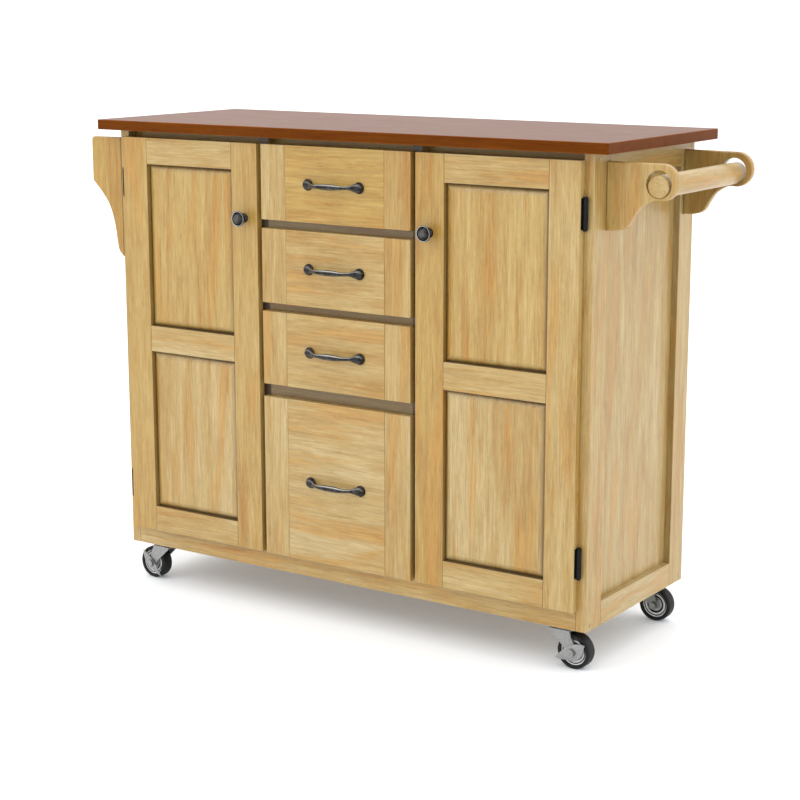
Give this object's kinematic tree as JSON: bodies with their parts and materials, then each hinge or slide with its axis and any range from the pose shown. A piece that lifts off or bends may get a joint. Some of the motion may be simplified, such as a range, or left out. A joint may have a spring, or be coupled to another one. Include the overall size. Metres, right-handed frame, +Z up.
{
  "type": "butcher block table",
  "caption": "Rolling kitchen cart: thick stained wood top on a cabinet with two panelled doors, a stack of drawers, a jar rack, a towel bar and swivel casters.",
  "frame": {"origin": "on the floor, under the centre of the whole part's bounding box (rack and towel bar included), doors, drawers and casters at rest", "axes": "+Z up; +X to the right of somebody facing the doors, towards the towel bar; +Y from the doors towards the back panel"},
  "size_m": [1.238, 0.4366, 0.918],
  "materials": {
    "cherry_top": "satin cherry stain",
    "natural_wood": "satin clear lacquer",
    "inner_board": "plain board",
    "pewter": "dark antique pewter",
    "black_metal": "black satin",
    "zinc": "zinc plated",
    "tyre": "matt",
    "hub": "silver paint"
  },
  "bodies": {
    "cabinet": {"back_panel": "inner_board", "cabinet_floor": "inner_board", "cabinet_hinge_leaves": "black_metal", "caster_blocks": "inner_board", "caster_plates": "zinc", "door_catches": "black_metal", "drawer_rails": "natural_wood", "drawer_runners": "inner_board", "front_bottom_rail": "natural_wood", "front_top_rail": "natural_wood", "hinge_pins": "black_metal", "left_side_frame": "natural_wood", "left_side_panel": "natural_wood", "partitions": "natural_wood", "rack_rails": "natural_wood", "rack_shelf": "natural_wood", "rack_sides": "natural_wood", "rear_rails": "inner_board", "right_side_frame": "natural_wood", "right_side_panel": "natural_wood", "screw_plugs": "natural_wood", "shelf_pins": "zinc", "shelves": "inner_board", "top_slab": "cherry_top", "towel_bar_brackets": "natural_wood"},
    "right_door": {"right_door_frame": "natural_wood", "right_door_panels": "natural_wood", "right_door_knob": "pewter", "right_door_hinge_leaves": "black_metal"},
    "left_door": {"left_door_frame": "natural_wood", "left_door_panels": "natural_wood", "left_door_knob": "pewter", "left_door_hinge_leaves": "black_metal"},
    "drawer_1": {"drawer_1_front": "natural_wood", "drawer_1_box": "inner_board", "drawer_1_pull": "pewter"},
    "drawer_2": {"drawer_2_front": "natural_wood", "drawer_2_box": "inner_board", "drawer_2_pull": "pewter"},
    "drawer_3": {"drawer_3_front": "natural_wood", "drawer_3_box": "inner_board", "drawer_3_pull": "pewter"},
    "drawer_4": {"drawer_4_front": "natural_wood", "drawer_4_box": "inner_board", "drawer_4_pull": "pewter"},
    "towel_bar": {"towel_bar": "natural_wood"},
    "front_left_swivel": {"front_left_fork": "zinc"},
    "front_left_wheel": {"front_left_tyre": "tyre", "front_left_hub": "hub"},
    "front_right_swivel": {"front_right_fork": "zinc"},
    "front_right_wheel": {"front_right_tyre": "tyre", "front_right_hub": "hub"},
    "rear_left_swivel": {"rear_left_fork": "zinc"},
    "rear_left_wheel": {"rear_left_tyre": "tyre", "rear_left_hub": "hub"},
    "rear_right_swivel": {"rear_right_fork": "zinc"},
    "rear_right_wheel": {"rear_right_tyre": "tyre", "rear_right_hub": "hub"},
    "front_left_pedal": {"front_left_brake_pedal": "zinc"},
    "front_right_pedal": {"front_right_brake_pedal": "zinc"}
  },
  "joints": [
    {"name": "right_door_hinge", "type": "hinge", "parent": "cabinet", "child": "right_door", "pos_m": [0.476, -0.18375, 0.5], "axis": [0, 0, 1], "range_deg": [0, 120]},
    {"name": "left_door_hinge", "type": "hinge", "parent": "cabinet", "child": "left_door", "pos_m": [-0.53, -0.18375, 0.5], "axis": [0, 0, -1], "range_deg": [0, 120]},
    {"name": "drawer_1_slide", "type": "slide", "parent": "cabinet", "child": "drawer_1", "axis": [0, -1, 0], "range_m": [0, 0.28]},
    {"name": "drawer_2_slide", "type": "slide", "parent": "cabinet", "child": "drawer_2", "axis": [0, -1, 0], "range_m": [0, 0.28]},
    {"name": "drawer_3_slide", "type": "slide", "parent": "cabinet", "child": "drawer_3", "axis": [0, -1, 0], "range_m": [0, 0.28]},
    {"name": "drawer_4_slide", "type": "slide", "parent": "cabinet", "child": "drawer_4", "axis": [0, -1, 0], "range_m": [0, 0.28]},
    {"name": "towel_bar_turn", "type": "hinge", "parent": "cabinet", "child": "towel_bar", "pos_m": [0.5845, 0.01575, 0.8455], "axis": [0, 1, 0], "continuous": true},
    {"name": "front_left_swivel_turn", "type": "hinge", "parent": "cabinet", "child": "front_left_swivel", "pos_m": [-0.483, -0.14775, 0.067], "axis": [0, 0, 1], "continuous": true},
    {"name": "front_left_wheel_spin", "type": "hinge", "parent": "front_left_swivel", "child": "front_left_wheel", "pos_m": [-0.50898, -0.14684, 0.03175], "axis": [-0.0349, -0.9994, 0], "continuous": true},
    {"name": "front_left_pedal_turn", "type": "hinge", "parent": "front_left_swivel", "child": "front_left_pedal", "pos_m": [-0.50898, -0.14684, 0.03175], "axis": [-0.0349, -0.9994, 0], "range_deg": [0, 25]},
    {"name": "front_right_swivel_turn", "type": "hinge", "parent": "cabinet", "child": "front_right_swivel", "pos_m": [0.429, -0.14775, 0.067], "axis": [0, 0, 1], "continuous": true},
    {"name": "front_right_wheel_spin", "type": "hinge", "parent": "front_right_swivel", "child": "front_right_wheel", "pos_m": [0.455, -0.14775, 0.03175], "axis": [0, 1, 0], "continuous": true},
    {"name": "front_right_pedal_turn", "type": "hinge", "parent": "front_right_swivel", "child": "front_right_pedal", "pos_m": [0.455, -0.14775, 0.03175], "axis": [0, 1, 0], "range_deg": [0, 25]},
    {"name": "rear_left_swivel_turn", "type": "hinge", "parent": "cabinet", "child": "rear_left_swivel", "pos_m": [-0.483, 0.16825, 0.067], "axis": [0, 0, 1], "continuous": true},
    {"name": "rear_left_wheel_spin", "type": "hinge", "parent": "rear_left_swivel", "child": "rear_left_wheel", "pos_m": [-0.50898, 0.16916, 0.03175], "axis": [-0.0349, -0.9994, 0], "continuous": true},
    {"name": "rear_right_swivel_turn", "type": "hinge", "parent": "cabinet", "child": "rear_right_swivel", "pos_m": [0.429, 0.16825, 0.067], "axis": [0, 0, 1], "continuous": true},
    {"name": "rear_right_wheel_spin", "type": "hinge", "parent": "rear_right_swivel", "child": "rear_right_wheel", "pos_m": [0.455, 0.16825, 0.03175], "axis": [0, 1, 0], "continuous": true}
  ]
}
